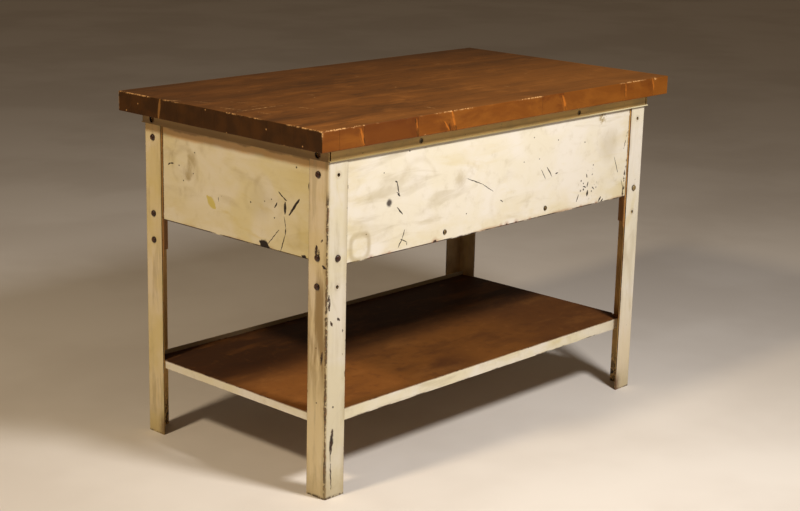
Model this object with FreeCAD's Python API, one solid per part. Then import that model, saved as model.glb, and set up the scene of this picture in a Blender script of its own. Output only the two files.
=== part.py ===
import FreeCAD, Part
import os

os.makedirs("parts", exist_ok=True)

# Butcher block table: a laminated wooden top carried by a steel ring, four angle legs,
# four pan-formed aprons and one low sheet-steel shelf. Millimetres.
# Origin on the floor under the middle of the top, +X along the length, -Y the front, +Z up.

# ---- top ----
TABLE_HEIGHT = 864.0
BLOCK_LENGTH = 1280.0
BLOCK_WIDTH = 700.0
BLOCK_THICKNESS = 48.0
STAVE_COUNT = 16
BLOCK_EDGE_ROUND = 2.0
# end-to-end joints of the short lengths in the front stave, measured from the left end
FRONT_STAVE_JOINTS = (51.0, 127.0, 300.0, 420.0, 746.0, 830.0, 1091.0, 1214.0)

# ---- legs: equal angles, outer corners on this rectangle ----
LEG_HALF_X = 588.5
LEG_HALF_Y = 317.5
LEG_FLANGE = 60.0
LEG_THICK = 4.0
LEG_BEND = 5.0
INSIDE_BEND = 1.5
LEG_GAUGE = 31.5          # bolt line, from the outer corner
BOLT_ROWS = (754.0, 566.0, 500.0)
MIDDLE_ROW = 566.0
BOLT_R = 4.0

# ---- steel ring under the block ----
RAIL_THICK = 3.0
RAIL_BOTTOM = 786.0
RAIL_FLANGE = 35.0
RAIL_LIP = 3.5            # outward, at the foot of the long sides
RAIL_LIP_THICK = 2.5
RAIL_SLIT = 4.5           # open joint at each corner, between a long web and the short one
RAIL_JOINT_GAP = 0.6      # where the flanges and the lip meet the neighbouring rail
RAIL_HOLE_Z = 798.0
RAIL_END_HOLE_R = 8.0     # short sides, over the legs' bolt line
RAIL_LONG_HOLE_R = 5.0    # long sides
RAIL_LONG_HOLE_U = 296.0

# ---- posts behind the legs ----
POST_THICK = 3.0
POST_FLANGE = 58.0
POST_BOTTOM = 461.0
POST_BEND = 3.5

# ---- aprons ----
APRON_SHEET = 1.5
APRON_RECESS = 2.5        # behind the legs' outer faces
APRON_GAP_NEAR = 1.0      # between the legs at one corner and the two aprons that meet there
APRON_GAP_LONG = 5.0      # at the other end of a long apron
APRON_GAP_SHORT = 6.0     # at the other end of a short apron
APRON_BOTTOM_LONG = 547.0
APRON_BOTTOM_SHORT = 556.0
APRON_TOP_FLANGE = 30.0
APRON_BOTTOM_FLANGE = 20.0
APRON_END_FLANGE = 18.0
APRON_SCREW_U = (-200.0, 180.0)
APRON_SCREW_Z = 567.0
APRON_SCREW_R = 3.0

# ---- shelf ----
SHELF_TOP = 196.5
SHELF_SHEET = 2.0
SHELF_HALF_X = LEG_HALF_X - LEG_THICK
SHELF_HALF_Y = 292.5
SHELF_FRONT_LIP = 29.0
SHELF_SIDE_LIP = 20.0
SHELF_REAR_LIP = 12.0
FRONT_LIP_HALF = 554.0
SIDE_LIP_HALF = 254.0
REAR_LIP_HALF = 576.0
CORNER_CUT_X = 30.5
CORNER_CUT_Y = 57.5
REAR_CUT_X = 12.0
GUSSET_THICK = 3.0
GUSSET_TAB_X = 28.0
GUSSET_TAB_Y = 57.0
GUSSET_REACH_X = 75.0
GUSSET_REACH_Y = 95.0
GUSSET_LIP_CLEAR = 24.0
GUSSET_SIDE_CLEAR = 3.0

# ---- fasteners ----
HEAD_R = 7.8
HEAD_HEIGHT = 4.6
NUT_FLATS = 13.0
NUT_HEIGHT = 6.5
WASHER_R = 8.0
WASHER_THICK = 1.6
BOLT_TAIL = 3.0
HEAD_DOME = 0.85          # share of a round head's height that is curved
SCREW_HEAD_R = 6.0
SCREW_HEAD_HEIGHT = 3.4
SCREW_TAIL = 2.0
SMALL_NUT_FLATS = 10.0
SMALL_NUT_HEIGHT = 5.0
LAG_R = 3.5
LAG_DEPTH = 30.0
LAG_HEAD_FLATS = 11.0
LAG_HEAD_HEIGHT = 5.0
LAG_WASHER_R = 9.0
LAG_WASHER_THICK = 1.5
LAG_INSET = 19.0
LAGS_LONG = (-450.0, -150.0, 150.0, 450.0)
LAGS_SHORT = (-120.0, 120.0)

# ---- working allowances ----
CLOSE = 0.01              # places nearer than this are the same place
PAST = 1.0                # how far a cutting tool runs out of the far side of what it cuts

BLOCK_UNDER = TABLE_HEIGHT - BLOCK_THICKNESS
FLANGE_UNDER = BLOCK_UNDER - RAIL_THICK
APRON_TOP = FLANGE_UNDER
FRAME_HALF_X = LEG_HALF_X + RAIL_THICK
FRAME_HALF_Y = LEG_HALF_Y + RAIL_THICK

SIDES = ("front", "rear", "left", "right")
LONG_SIDES = ("front", "rear")
CORNERS = {"front_left": (-1, -1), "front_right": (1, -1),
           "rear_left": (-1, 1), "rear_right": (1, 1)}


def save(name, shape):
    shape.exportStep("parts/" + name + ".step")


def block(x0, x1, y0, y1, z0, z1):
    lo = FreeCAD.Vector(min(x0, x1), min(y0, y1), min(z0, z1))
    return Part.makeBox(abs(x1 - x0), abs(y1 - y0), abs(z1 - z0), lo)


def outward(side):
    return {"front": (0, -1), "rear": (0, 1), "left": (-1, 0), "right": (1, 0)}[side]


def place(side, along, out):
    """Plan position from a distance along a side and a distance out from the middle."""
    dx, dy = outward(side)
    return (along, out * dy) if side in LONG_SIDES else (out * dx, along)


def slab(side, u0, u1, v0, v1, z0, z1):
    xa, ya = place(side, u0, v0)
    xb, yb = place(side, u1, v1)
    return block(xa, xb, ya, yb, z0, z1)


def rod(side, u, z, radius, v0, v1):
    """Round bar square to a side, from v0 out to v1."""
    x, y = place(side, u, v0)
    dx, dy = outward(side)
    return Part.makeCylinder(radius, v1 - v0, FreeCAD.Vector(x, y, z), FreeCAD.Vector(dx, dy, 0))


def hexagon(flats, height, base, axis):
    """Six-sided nut or head standing on base along axis."""
    radius = flats / 3 ** 0.5
    corners = []
    for k in range(7):
        turn = FreeCAD.Rotation(FreeCAD.Vector(0, 0, 1), 60.0 * k)
        corners.append(turn.multVec(FreeCAD.Vector(radius, 0, 0)))
    solid = Part.Face(Part.makePolygon(corners)).extrude(FreeCAD.Vector(0, 0, height))
    turn = FreeCAD.Rotation(FreeCAD.Vector(0, 0, 1), axis)
    solid.Placement = FreeCAD.Placement(base, turn)
    return solid


def prism(points, z0, z1):
    ring = [FreeCAD.Vector(x, y, z0) for x, y in points]
    return Part.Face(Part.makePolygon(ring + ring[:1])).extrude(FreeCAD.Vector(0, 0, z1 - z0))


def round_edges(shape, radius, wanted):
    edges = [e for e in shape.Edges if wanted(e)]
    return shape.makeFillet(radius, edges) if edges else shape


def upright_at(x, y):
    def wanted(edge):
        a, b = edge.Vertexes[0].Point, edge.Vertexes[-1].Point
        same = abs(a.x - x) < CLOSE and abs(a.y - y) < CLOSE and abs(b.x - x) < CLOSE
        return same and abs(b.y - y) < CLOSE and abs(a.z - b.z) > LEG_THICK / 2
    return wanted


def angle_bar(sx, sy, half_x, half_y, flange, thick, bend, z0, z1):
    """Upright equal angle whose outer corner stands at (half_x, half_y)."""
    x, y = sx * half_x, sy * half_y
    bar = block(x, x - sx * flange, y, y - sy * thick, z0, z1)
    bar = bar.fuse(block(x, x - sx * thick, y, y - sy * flange, z0, z1)).removeSplitter()
    bar = round_edges(bar, bend, upright_at(x, y))
    return round_edges(bar, INSIDE_BEND, upright_at(x - sx * thick, y - sy * thick))


def sides_of(sx, sy):
    long_side = "front" if sy < 0 else "rear"
    short_side = "left" if sx < 0 else "right"
    return long_side, short_side


def leg_drill(sx, sy):
    """Bolt holes through a leg and the post behind it."""
    long_side, short_side = sides_of(sx, sy)
    u_long, u_short = sx * (LEG_HALF_X - LEG_GAUGE), sy * (LEG_HALF_Y - LEG_GAUGE)
    holes = []
    for z in BOLT_ROWS:
        holes.append((long_side, u_long, z, BOLT_R, LEG_HALF_Y))
        holes.append((short_side, u_short, z, BOLT_R, LEG_HALF_X))
    holes.append((short_side, u_short, RAIL_HOLE_Z, RAIL_END_HOLE_R, LEG_HALF_X))
    deep = LEG_THICK + POST_THICK + PAST
    drill = [rod(side, u, z, radius, face - deep, face + PAST) for side, u, z, radius, face in holes]
    return Part.makeCompound(drill)


def lag_places():
    spots = []
    for side in SIDES:
        is_long = side in LONG_SIDES
        half = (LEG_HALF_Y if is_long else LEG_HALF_X) - LAG_INSET
        for u in (LAGS_LONG if is_long else LAGS_SHORT):
            spots.append(place(side, u, half))
    return spots


def upright_rod(x, y, radius, z0, z1):
    return Part.makeCylinder(radius, z1 - z0, FreeCAD.Vector(x, y, z0), FreeCAD.Vector(0, 0, 1))


def rail(side):
    """One side of the ring. The short rails run to the corners and the long ones stop between
    them, with a lip at the foot that goes on along the corner."""
    is_long = side in LONG_SIDES
    face = FRAME_HALF_Y if is_long else FRAME_HALF_X
    corner = FRAME_HALF_X if is_long else FRAME_HALF_Y
    end = corner - RAIL_THICK - RAIL_SLIT if is_long else corner
    inner = face - RAIL_THICK - RAIL_FLANGE
    web = slab(side, -end, end, face - RAIL_THICK, face, RAIL_BOTTOM, BLOCK_UNDER)
    top = slab(side, -end, end, inner, face, FLANGE_UNDER, BLOCK_UNDER)
    narrow, wide = corner - RAIL_THICK - RAIL_FLANGE - PAST, corner - RAIL_THICK + PAST
    skew = RAIL_JOINT_GAP if is_long else 0.0
    trapezoid = [place(side, s * (u - skew), v) for s, u, v in (
        (-1, wide, face - RAIL_THICK + PAST), (1, wide, face - RAIL_THICK + PAST),
        (1, narrow, inner - PAST), (-1, narrow, inner - PAST))]
    body = web.fuse(top.common(prism(trapezoid, FLANGE_UNDER, BLOCK_UNDER)))
    if is_long:
        lip_top = RAIL_BOTTOM + RAIL_LIP_THICK
        lip = [slab(side, -end, end, face - RAIL_THICK, face + RAIL_LIP, RAIL_BOTTOM, lip_top),
               slab(side, -corner, corner, face + RAIL_JOINT_GAP, face + RAIL_LIP,
                    RAIL_BOTTOM, lip_top)]
        body = body.fuse(lip)
    body = body.removeSplitter()
    hole_u = RAIL_LONG_HOLE_U if is_long else LEG_HALF_Y - LEG_GAUGE
    hole_r = RAIL_LONG_HOLE_R if is_long else RAIL_END_HOLE_R
    cutters = [rod(side, s * hole_u, RAIL_HOLE_Z, hole_r, face - RAIL_THICK - PAST, face + PAST)
               for s in (-1, 1)]
    cutters += [upright_rod(x, y, LAG_R, FLANGE_UNDER - PAST, BLOCK_UNDER + PAST)
                for x, y in lag_places()]
    return body.cut(Part.makeCompound(cutters)).removeSplitter()


def apron(side):
    is_long = side in LONG_SIDES
    clear = (LEG_HALF_X if is_long else LEG_HALF_Y) - LEG_FLANGE
    u0 = APRON_GAP_NEAR - clear
    u1 = clear - (APRON_GAP_LONG if is_long else APRON_GAP_SHORT)
    face = (LEG_HALF_Y if is_long else LEG_HALF_X) - APRON_RECESS
    low = APRON_BOTTOM_LONG if is_long else APRON_BOTTOM_SHORT
    t = APRON_SHEET
    body = slab(side, u0, u1, face - t, face, low, APRON_TOP)
    folds = [slab(side, u0, u1, face - APRON_TOP_FLANGE, face, APRON_TOP - t, APRON_TOP),
             slab(side, u0, u1, face - APRON_BOTTOM_FLANGE, face, low, low + t)]
    for end, inward in ((u0, u0 + t), (u1, u1 - t)):
        folds.append(slab(side, end, inward, face - APRON_END_FLANGE, face, low, APRON_TOP))
    body = body.fuse(folds).removeSplitter()
    cutters = [upright_rod(x, y, LAG_R, APRON_TOP - t - PAST, APRON_TOP + PAST)
               for x, y in lag_places()]
    if is_long:
        cutters += [rod(side, u, APRON_SCREW_Z, APRON_SCREW_R, face - t - PAST, face + PAST)
                    for u in APRON_SCREW_U]
    return body.cut(Part.makeCompound(cutters)).removeSplitter()


def shelf_pan():
    hx, hy = SHELF_HALF_X, SHELF_HALF_Y
    outline = []
    for sx, sy in ((-1, -1), (1, -1), (1, 1), (-1, 1)):
        cut_x = CORNER_CUT_X if sy < 0 else REAR_CUT_X
        on_side = (sx * hx, sy * (hy - CORNER_CUT_Y))
        on_long = (sx * (hx - cut_x), sy * hy)
        outline += [on_side, on_long] if sx * sy > 0 else [on_long, on_side]
    low = SHELF_TOP - SHELF_SHEET
    t = SHELF_SHEET
    folds = [slab("front", -FRONT_LIP_HALF, FRONT_LIP_HALF, hy - t, hy,
                  SHELF_TOP - SHELF_FRONT_LIP, SHELF_TOP),
             slab("rear", -REAR_LIP_HALF, REAR_LIP_HALF, hy - t, hy,
                  low, SHELF_TOP + SHELF_REAR_LIP)]
    for side in ("left", "right"):
        folds.append(slab(side, -SIDE_LIP_HALF, SIDE_LIP_HALF, hx - t, hx,
                          SHELF_TOP - SHELF_SIDE_LIP, SHELF_TOP))
    return prism(outline, low, SHELF_TOP).fuse(folds).removeSplitter()


def gusset(sx, sy):
    """Flat plate in the leg's corner, under the shelf's cut corner."""
    def at(u, v):
        return (sx * (LEG_HALF_X - LEG_THICK - u), sy * (LEG_HALF_Y - LEG_THICK - v))
    points = [at(0, 0), at(GUSSET_TAB_X, 0), at(GUSSET_TAB_X, GUSSET_LIP_CLEAR),
              at(GUSSET_REACH_X, GUSSET_LIP_CLEAR), at(GUSSET_SIDE_CLEAR, GUSSET_REACH_Y),
              at(GUSSET_SIDE_CLEAR, GUSSET_TAB_Y), at(0, GUSSET_TAB_Y)]
    top = SHELF_TOP - SHELF_SHEET
    plate = prism(points, top - GUSSET_THICK, top)
    return round_edges(plate, INSIDE_BEND, upright_at(*at(0, 0)))


def round_head(side, u, z, radius, height, seat):
    head = rod(side, u, z, radius, seat, seat + height)
    x, y = place(side, u, seat + height)

    def rim(edge):
        c = edge.CenterOfMass
        return abs(c.x - x) < CLOSE and abs(c.y - y) < CLOSE
    return round_edges(head, height * HEAD_DOME, rim)


def side_nut(side, u, z, flats, height, v_out, bore):
    """Nut lying against an inner face at v_out, pointing to the middle of the table."""
    nut = hexagon(flats, height, FreeCAD.Vector(*place(side, u, v_out), z),
                  FreeCAD.Vector(*[-c for c in outward(side)], 0))
    return nut.cut(rod(side, u, z, bore, v_out - height - PAST, v_out + PAST))


def side_washer(side, u, z, radius, thick, v_out, bore):
    return rod(side, u, z, radius, v_out - thick, v_out).cut(
        rod(side, u, z, bore, v_out - thick - PAST, v_out + PAST))


# ---- the wooden top, stave by stave from the front ----
stave_width = BLOCK_WIDTH / STAVE_COUNT
pilots = [(x, y, upright_rod(x, y, LAG_R, BLOCK_UNDER - PAST, BLOCK_UNDER + LAG_DEPTH))
          for x, y in lag_places()]


def on_block_rim(edge):
    """Long or end edges that lie on the outside of the block, top and bottom."""
    a, b = edge.Vertexes[0].Point, edge.Vertexes[-1].Point
    flat = abs(a.z - b.z) < CLOSE and min(abs(a.z - TABLE_HEIGHT), abs(a.z - BLOCK_UNDER)) < CLOSE
    half_x, half_y = BLOCK_LENGTH / 2, BLOCK_WIDTH / 2
    at_end = abs(abs(a.x) - half_x) < CLOSE and abs(a.x - b.x) < CLOSE
    at_long = abs(abs(a.y) - half_y) < CLOSE and abs(a.y - b.y) < CLOSE
    return flat and edge.Length > stave_width / 2 and (at_end or at_long)


for number in range(STAVE_COUNT):
    y0 = -BLOCK_WIDTH / 2 + number * stave_width
    cuts = FRONT_STAVE_JOINTS if number == 0 else ()
    ends = [0.0] + list(cuts) + [BLOCK_LENGTH]
    lengths = []
    for a, b in zip(ends, ends[1:]):
        piece = block(a - BLOCK_LENGTH / 2, b - BLOCK_LENGTH / 2, y0, y0 + stave_width,
                      BLOCK_UNDER, TABLE_HEIGHT)
        piece = round_edges(piece, BLOCK_EDGE_ROUND, on_block_rim)
        for x, y, pilot in pilots:
            if y0 < y < y0 + stave_width:
                piece = piece.cut(pilot)
        lengths.append(piece)
    save("stave_%02d" % (number + 1), lengths[0] if len(lengths) == 1 else Part.makeCompound(lengths))

# ---- steel ring and aprons ----
for side in SIDES:
    save(side + "_rail", rail(side))
    save(side + "_apron", apron(side))

# ---- legs, posts and shelf gussets ----
for corner, (sx, sy) in CORNERS.items():
    leg = angle_bar(sx, sy, LEG_HALF_X, LEG_HALF_Y, LEG_FLANGE, LEG_THICK, LEG_BEND,
                    0.0, FLANGE_UNDER)
    post = angle_bar(sx, sy, LEG_HALF_X - LEG_THICK, LEG_HALF_Y - LEG_THICK, POST_FLANGE,
                     POST_THICK, POST_BEND, POST_BOTTOM, FLANGE_UNDER)
    save(corner + "_leg", leg.cut(leg_drill(sx, sy)))
    save(corner + "_post", post.cut(leg_drill(sx, sy)))
    save(corner + "_gusset", gusset(sx, sy))

save("shelf", shelf_pan())

# ---- bolts through legs and posts ----
bolts, nuts, washers = [], [], []
for sx, sy in CORNERS.values():
    long_side, short_side = sides_of(sx, sy)
    spots = [(short_side, sy * (LEG_HALF_Y - LEG_GAUGE), z, LEG_HALF_X) for z in BOLT_ROWS]
    spots.append((long_side, sx * (LEG_HALF_X - LEG_GAUGE), MIDDLE_ROW, LEG_HALF_Y))
    for side, u, z, face in spots:
        inner = face - LEG_THICK - POST_THICK
        tail = inner - WASHER_THICK - NUT_HEIGHT - BOLT_TAIL
        shank = rod(side, u, z, BOLT_R, tail, face)
        bolts.append(shank.fuse(round_head(side, u, z, HEAD_R, HEAD_HEIGHT, face)).removeSplitter())
        washers.append(side_washer(side, u, z, WASHER_R, WASHER_THICK, inner, BOLT_R))
        nuts.append(side_nut(side, u, z, NUT_FLATS, NUT_HEIGHT, inner - WASHER_THICK, BOLT_R))
save("leg_bolts", Part.makeCompound(bolts))
save("leg_washers", Part.makeCompound(washers))
save("leg_nuts", Part.makeCompound(nuts))

# ---- two screws low on each long apron ----
screws, screw_nuts = [], []
for side in LONG_SIDES:
    face = LEG_HALF_Y - APRON_RECESS
    back = face - APRON_SHEET
    for u in APRON_SCREW_U:
        shank = rod(side, u, APRON_SCREW_Z, APRON_SCREW_R, back - SMALL_NUT_HEIGHT - SCREW_TAIL, face)
        head = round_head(side, u, APRON_SCREW_Z, SCREW_HEAD_R, SCREW_HEAD_HEIGHT, face)
        screws.append(shank.fuse(head).removeSplitter())
        screw_nuts.append(side_nut(side, u, APRON_SCREW_Z, SMALL_NUT_FLATS, SMALL_NUT_HEIGHT,
                                   back, APRON_SCREW_R))
save("apron_screws", Part.makeCompound(screws))
save("apron_nuts", Part.makeCompound(screw_nuts))

# ---- lag screws up through the aprons' and the ring's flanges into the block ----
lags, lag_washers = [], []
seat = APRON_TOP - APRON_SHEET
for x, y in lag_places():
    head_top = seat - LAG_WASHER_THICK
    head = hexagon(LAG_HEAD_FLATS, LAG_HEAD_HEIGHT, FreeCAD.Vector(x, y, head_top - LAG_HEAD_HEIGHT),
                   FreeCAD.Vector(0, 0, 1))
    shank = upright_rod(x, y, LAG_R, head_top, BLOCK_UNDER + LAG_DEPTH)
    lags.append(shank.fuse(head).removeSplitter())
    ring = upright_rod(x, y, LAG_WASHER_R, head_top, seat)
    lag_washers.append(ring.cut(upright_rod(x, y, LAG_R, head_top - PAST, seat + PAST)))
save("lag_screws", Part.makeCompound(lags))
save("lag_washers", Part.makeCompound(lag_washers))
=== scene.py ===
import math

import bpy
from mathutils import Matrix, Vector, noise


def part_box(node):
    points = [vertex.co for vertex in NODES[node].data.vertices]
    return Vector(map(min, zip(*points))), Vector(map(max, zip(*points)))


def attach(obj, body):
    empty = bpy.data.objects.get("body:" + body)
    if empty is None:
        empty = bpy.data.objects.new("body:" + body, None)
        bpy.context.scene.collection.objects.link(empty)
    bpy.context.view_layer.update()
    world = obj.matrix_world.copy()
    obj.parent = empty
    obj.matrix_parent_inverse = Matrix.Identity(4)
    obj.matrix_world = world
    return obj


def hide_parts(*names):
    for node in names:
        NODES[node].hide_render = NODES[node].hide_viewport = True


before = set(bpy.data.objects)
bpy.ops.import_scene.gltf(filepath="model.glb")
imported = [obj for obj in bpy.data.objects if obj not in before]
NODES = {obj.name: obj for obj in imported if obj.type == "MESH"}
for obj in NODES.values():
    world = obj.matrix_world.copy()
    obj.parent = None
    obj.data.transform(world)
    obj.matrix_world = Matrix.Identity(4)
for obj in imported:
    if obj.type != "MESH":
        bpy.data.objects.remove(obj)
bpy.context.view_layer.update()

# Butcher block table: worn varnished block on cream painted steel. Metres, in the frame of the
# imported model: origin on the floor under the middle of the top, -Y the front, +Z up.

MM = 0.001

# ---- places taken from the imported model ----
STAVES = sorted(name for name in NODES if name.startswith("stave_"))
FRONT_STAVE, REAR_STAVE = STAVES[0], STAVES[-1]
LEGS = [name for name in NODES if name.endswith("_leg")]
NEAR_LEG = "front_left_leg"
RIGHT_LEG = "front_right_leg"
LEFT_LEG = "rear_left_leg"
BACK_LEG = "rear_right_leg"
BLOCK_LOW = Vector(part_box(FRONT_STAVE)[0])
BLOCK_HIGH = Vector(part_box(REAR_STAVE)[1])
STAVE_WIDTH = (BLOCK_HIGH.y - BLOCK_LOW.y) / len(STAVES)
LEG_LOW, LEG_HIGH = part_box(NEAR_LEG)
LEG_X, LEG_Y = -LEG_LOW.x, -LEG_LOW.y
LEG_FLANGE = LEG_HIGH.x - LEG_LOW.x
RAIL_LOW, RAIL_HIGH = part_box("front_rail")
SHELF_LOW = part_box("shelf")[0]

# ---- places inside the boxes, as the CAD source has them ----
LEG_THICK = 4 * MM
BOLT_LINE = 31.5 * MM
BOLT_ROWS = (754 * MM, 566 * MM, 500 * MM)
SHELF_FACE = 196.5 * MM
APRON_FACE_Y = -315 * MM
APRON_FACE_X = -586 * MM
RAIL_HOLE_Z = 798 * MM
# the ring's holes: distance from the middle and radius
LONG_HOLE = (296 * MM, 5 * MM)
SHORT_HOLE = (286 * MM, 8 * MM)

# ---- camera and lights ----
CAMERA_PLACE = (-3.0663, -2.8391, 1.5045)
CAMERA_YAW = 0.8216
CAMERA_PITCH = -0.25555
CAMERA_ROLL = 0.02377
CAMERA_LENS = 74.95
SENSOR_WIDTH = 36.0

KEY = {"place": (-0.15, -1.9, 2.25), "target": (-0.1, 0.0, 0.5), "size": 0.45, "power": 60.0}
FILL = {"place": (-2.9, -0.1, 3.0), "target": (-0.6, 0.1, 0.5), "size": 0.38, "power": 64.0}
KEY_COLOUR = (1.0, 0.95, 0.885)
FILL_COLOUR = (1.0, 0.81, 0.56)
WORLD_COLOUR = (0.76, 0.54, 0.34)
WORLD_STRENGTH = 0.118
FLOOR_HALF = 14.0


def tone(red, green, blue):
    """A colour from the usual 0 to 255 display numbers, as the linear values a shader takes."""
    linear = [((c / 255 + 0.055) / 1.055) ** 2.4 for c in (red, green, blue)]
    return (*linear, 1.0)


CREAM = tone(236, 230, 219)
CREAM_WARM = tone(226, 216, 178)
CREAM_GREY = tone(192, 180, 152)
CREAM_YELLOW = tone(212, 192, 118)
CREAM_OCHRE = tone(217, 185, 112)
OLIVE = tone(166, 146, 98)
OLIVE_DARK = tone(144, 116, 66)
# painted shade under the ring's lip on the aprons' tops
LIP_SHADOW_BROWN = tone(196, 150, 92)
STAIN_YELLOW = tone(206, 188, 84)
RUST_DARK = tone(62, 38, 24)
RUST_BLACK = tone(34, 24, 19)
RUST_BROWN = tone(104, 66, 38)
RUST_ORANGE = tone(152, 90, 44)
RUST_SOFT = tone(126, 92, 58)
STEEL_OCHRE = tone(224, 182, 110)
STEEL_GREY = tone(214, 188, 140)
RING_TAN = tone(222, 188, 118)
KNOCK = tone(36, 22, 15)
# painted shade: the brown band that the ring and the block cast on the end faces
RING_SHADOW_BROWN = tone(238, 186, 110)
STEEL_BROWN = tone(120, 88, 56)
WOOD_TOP = tone(112, 68, 28)
WOOD_TOP_DARK = tone(62, 40, 22)
WOOD_TOP_WORN = tone(150, 95, 42)
WOOD_SIDE = tone(126, 70, 17)
WOOD_SIDE_DARK = tone(92, 46, 12)
WOOD_SIDE_PALE = tone(146, 88, 26)
WOOD_END = tone(74, 44, 12)
WOOD_END_DARK = tone(58, 34, 8)
WOOD_BARE = tone(208, 160, 104)
WOOD_ORANGE = tone(186, 108, 34)
SHELF_BROWN = tone(124, 76, 30)
SHELF_DARK = tone(84, 48, 22)
SHELF_PALE = tone(152, 100, 48)
ZINC = tone(150, 144, 134)
BOLT_BROWN = tone(54, 22, 11)
POST_BROWN = tone(168, 122, 72)
SCREW_TAN = tone(132, 112, 76)
DRIP_TAN = tone(158, 112, 58)
DENT_BLACK = tone(46, 33, 34)
FLOOR_COLOUR = tone(236, 231, 226)
FLOOR_SMUDGE = tone(226, 220, 214)

# each finish takes its patterns from its own part of the noise
APRON_SEEDS = {"front": 101.0, "left": 127.0, "rear": 149.0, "right": 163.0}
LEG_SEED_STEP = 10.0
RING_SEED = 201.0
SHELF_SEED = 301.0
POST_SEED = 401.0
BOLT_SEED = 501.0
HARDWARE_SEED = 601.0
SCREW_SEED = 701.0
FLOOR_SEED = 801.0

# marks: the width that a mark's soft rim adds, its ends' width beside its middle's, its rim as a
# share of half its width, and how fine its raggedness is
SCRATCH_SPREAD = 1.25
END_SHARE = 0.4
RIM_OUTSIDE, RIM_INSIDE = 1.25, 0.7
RAGGED_SCALE = 90.0
# roughness and relief where paint is knocked off, where it has flaked and where wood is broken
KNOCKED = (0.8, -0.2 * MM)
FLAKED = (0.8, -0.1 * MM)
SPLINTERED = (0.7, -0.2 * MM)
# a round dot is a very short mark: its length in millimetres, and its size
DOT_LENGTH = 0.02
DOT_SIZE = 0.62
# the solid middle of a speckle, as a share of its size
SPOT_CORE = 0.5


class Nodes:
    """Short ways to add nodes to a node tree."""

    def __init__(self, tree):
        self.tree = tree

    def add(self, kind, inputs=None, **settings):
        """A new node. Its inputs are linked where a socket is given, and set where a value is."""
        node = self.tree.nodes.new(kind)
        for key, value in settings.items():
            setattr(node, key, value)
        for key, value in (inputs or {}).items():
            if isinstance(value, bpy.types.NodeSocket):
                self.tree.links.new(value, node.inputs[key])
            else:
                node.inputs[key].default_value = value
        return node

    def math(self, operation, a, b=0.0, c=0.0):
        return self.add("ShaderNodeMath", {0: a, 1: b, 2: c}, operation=operation).outputs[0]

    def vector(self, operation, *values):
        """The result of one vector node: a number for a length or a product, else a vector."""
        inputs = dict(enumerate(values))
        outputs = self.add("ShaderNodeVectorMath", inputs, operation=operation).outputs
        return outputs["Value" if operation in ("DOT_PRODUCT", "LENGTH", "DISTANCE") else 0]

    def plus(self, a, b):
        return self.math("ADD", a, b)

    def minus(self, a, b):
        return self.math("SUBTRACT", a, b)

    def times(self, a, b):
        return self.math("MULTIPLY", a, b)

    def unsigned(self, value):
        return self.math("ABSOLUTE", value)

    def hypotenuse(self, a, b):
        return self.math("SQRT", self.plus(self.times(a, a), self.times(b, b)))

    def most(self, *values):
        """The largest of the values."""
        result = values[0]
        for value in values[1:]:
            result = self.math("MAXIMUM", result, value)
        return result

    def least(self, *values):
        """The smallest of the values."""
        result = values[0]
        for value in values[1:]:
            result = self.math("MINIMUM", result, value)
        return result

    def band(self, value, low, high):
        """0 below low, 1 above high and a smooth step between. With low above high it falls."""
        inputs = {"Value": value, "From Min": low, "From Max": high}
        return self.add("ShaderNodeMapRange", inputs, interpolation_type="SMOOTHSTEP").outputs[0]

    def near(self, value, reach, full):
        """1 nearer than full and 0 beyond reach, both in millimetres."""
        return self.band(value, reach * MM, full * MM)

    def partly(self, value, start, full, share):
        """0 where the value is at start, rising to that share where it is at full."""
        return self.times(self.band(value, start, full), share)

    def mix(self, mask, a, b):
        """Colour a where the mask is 0 and colour b where it is 1."""
        inputs = {0: mask, 6: a, 7: b}
        return self.add("ShaderNodeMix", inputs, data_type="RGBA").outputs[2]

    def tinted(self, base, value, start, full, share, colour):
        """A colour over another one where the value goes from start to full, up to that share."""
        return self.mix(self.partly(value, start, full, share), base, colour)

    def blend(self, mask, a, b):
        """Number a where the mask is 0 and number b where it is 1."""
        return self.add("ShaderNodeMix", {0: mask, 2: a, 3: b}, data_type="FLOAT").outputs[0]


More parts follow.
